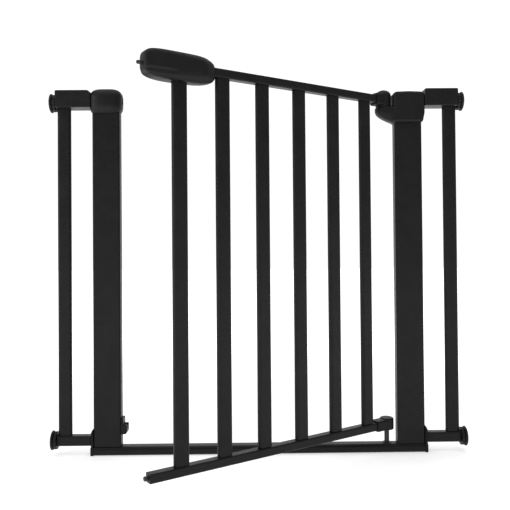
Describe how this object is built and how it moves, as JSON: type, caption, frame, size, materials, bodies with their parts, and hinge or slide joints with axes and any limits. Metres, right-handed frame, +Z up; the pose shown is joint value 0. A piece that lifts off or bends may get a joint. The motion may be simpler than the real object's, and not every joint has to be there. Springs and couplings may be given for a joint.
{
  "type": "safety baby gate",
  "caption": "Pressure-fit doorway safety gate: a U-shaped steel frame, a barred swing door with a lift-and-slide latch, side extension bars and screw-out wall pads.",
  "frame": {"origin": "on the floor, under the middle of the opening between the two posts, in the frame's middle plane", "axes": "+X to the hinge side, +Y away from the person that the open door swings towards, +Z up"},
  "size_m": [0.863, 0.3323, 0.761],
  "materials": {
    "powder_coated_steel": "satin powder coat",
    "black_moulding": "fine moulded texture",
    "black_nylon": "plain",
    "black_rubber": "matt",
    "blackened_steel": "black zinc",
    "zinc_plated_steel": "bright zinc",
    "spring_steel": "drawn wire"
  },
  "bodies": {
    "frame": {"threshold_bar": "powder_coated_steel", "left_post": "powder_coated_steel", "right_post": "powder_coated_steel", "left_corner_cap": "black_moulding", "right_corner_cap": "black_moulding", "lower_hinge_bush": "black_nylon", "lower_catch": "black_moulding", "catch_screws": "zinc_plated_steel", "latch_housing_front": "black_moulding", "latch_housing_rear": "black_moulding", "strike_liner": "zinc_plated_steel", "hinge_housing_front": "black_moulding", "hinge_housing_rear": "black_moulding", "housing_screws": "zinc_plated_steel", "upper_hinge_pin": "blackened_steel", "upper_hinge_bush": "black_nylon", "left_extension_bar": "powder_coated_steel", "right_extension_bar": "powder_coated_steel", "left_extension_block": "black_moulding", "right_extension_block": "black_moulding", "left_foot_tube": "powder_coated_steel", "right_foot_tube": "powder_coated_steel", "foot_tube_plugs": "black_moulding", "extension_studs": "zinc_plated_steel"},
    "hinge_pin": {"lower_hinge_pin": "blackened_steel", "pin_ring": "zinc_plated_steel"},
    "door": {"top_rail": "powder_coated_steel", "bottom_rail": "powder_coated_steel", "upper_knuckle": "black_moulding", "lower_hinge_cap": "black_moulding", "rail_end_cap": "black_moulding", "catch_pin": "blackened_steel", "handle_front": "black_moulding", "handle_rear": "black_moulding", "handle_screws": "zinc_plated_steel", "bolt_spring": "spring_steel", "door_bar_1": "powder_coated_steel", "door_bar_2": "powder_coated_steel", "door_bar_3": "powder_coated_steel", "door_bar_4": "powder_coated_steel", "door_bar_5": "powder_coated_steel", "door_bar_6": "powder_coated_steel"},
    "latch_slide": {"thumb_slide": "black_moulding", "latch_bolt": "blackened_steel"},
    "hand_wheel_upper_left": {"hand_wheel_upper_left": "black_moulding"},
    "wall_spindle_upper_left": {"spindle_upper_left": "blackened_steel", "pad_cup_upper_left": "black_moulding", "rubber_pad_upper_left": "black_rubber"},
    "hand_wheel_upper_right": {"hand_wheel_upper_right": "black_moulding"},
    "wall_spindle_upper_right": {"spindle_upper_right": "blackened_steel", "pad_cup_upper_right": "black_moulding", "rubber_pad_upper_right": "black_rubber"},
    "hand_wheel_lower_left": {"hand_wheel_lower_left": "black_moulding"},
    "wall_spindle_lower_left": {"spindle_lower_left": "blackened_steel", "pad_cup_lower_left": "black_moulding", "rubber_pad_lower_left": "black_rubber"},
    "hand_wheel_lower_right": {"hand_wheel_lower_right": "black_moulding"},
    "wall_spindle_lower_right": {"spindle_lower_right": "blackened_steel", "pad_cup_lower_right": "black_moulding", "rubber_pad_lower_right": "black_rubber"}
  },
  "joints": [
    {"name": "door_lift", "type": "slide", "parent": "frame", "child": "hinge_pin", "axis": [0, 0, 1], "range_m": [0, 0.012]},
    {"name": "door_swing", "type": "hinge", "parent": "hinge_pin", "child": "door", "pos_m": [0.266, 0, 0], "axis": [0, 0, 1], "range_deg": [-123.02, 56.98]},
    {"name": "latch_retract", "type": "slide", "parent": "door", "child": "latch_slide", "axis": [0.8385, 0.5449, 0], "range_m": [0, 0.01], "stiffness_N_per_m": 250, "springref_m": -0.008, "deforming": ["bolt_spring"]},
    {"name": "turn_wheel_upper_left", "type": "hinge", "parent": "frame", "child": "hand_wheel_upper_left", "pos_m": [-0.4198, 0, 0.7325], "axis": [1, 0, 0], "range_deg": [0, 3600]},
    {"name": "push_pad_upper_left", "type": "slide", "parent": "frame", "child": "wall_spindle_upper_left", "axis": [-1, 0, 0], "range_m": [0, 0.03]},
    {"name": "turn_wheel_upper_right", "type": "hinge", "parent": "frame", "child": "hand_wheel_upper_right", "pos_m": [0.4198, 0, 0.7325], "axis": [-1, 0, 0], "range_deg": [0, 3600]},
    {"name": "push_pad_upper_right", "type": "slide", "parent": "frame", "child": "wall_spindle_upper_right", "axis": [1, 0, 0], "range_m": [0, 0.03]},
    {"name": "turn_wheel_lower_left", "type": "hinge", "parent": "frame", "child": "hand_wheel_lower_left", "pos_m": [-0.4198, 0, 0.03], "axis": [1, 0, 0], "range_deg": [0, 3600]},
    {"name": "push_pad_lower_left", "type": "slide", "parent": "frame", "child": "wall_spindle_lower_left", "axis": [-1, 0, 0], "range_m": [0, 0.03]},
    {"name": "turn_wheel_lower_right", "type": "hinge", "parent": "frame", "child": "hand_wheel_lower_right", "pos_m": [0.4198, 0, 0.03], "axis": [-1, 0, 0], "range_deg": [0, 3600]},
    {"name": "push_pad_lower_right", "type": "slide", "parent": "frame", "child": "wall_spindle_lower_right", "axis": [1, 0, 0], "range_m": [0, 0.03]}
  ],
  "couplings": [
    {"joint": "turn_wheel_upper_left", "follows": "push_pad_upper_left", "rad_per_m": 2094.4},
    {"joint": "turn_wheel_upper_right", "follows": "push_pad_upper_right", "rad_per_m": 2094.4},
    {"joint": "turn_wheel_lower_left", "follows": "push_pad_lower_left", "rad_per_m": 2094.4},
    {"joint": "turn_wheel_lower_right", "follows": "push_pad_lower_right", "rad_per_m": 2094.4}
  ]
}
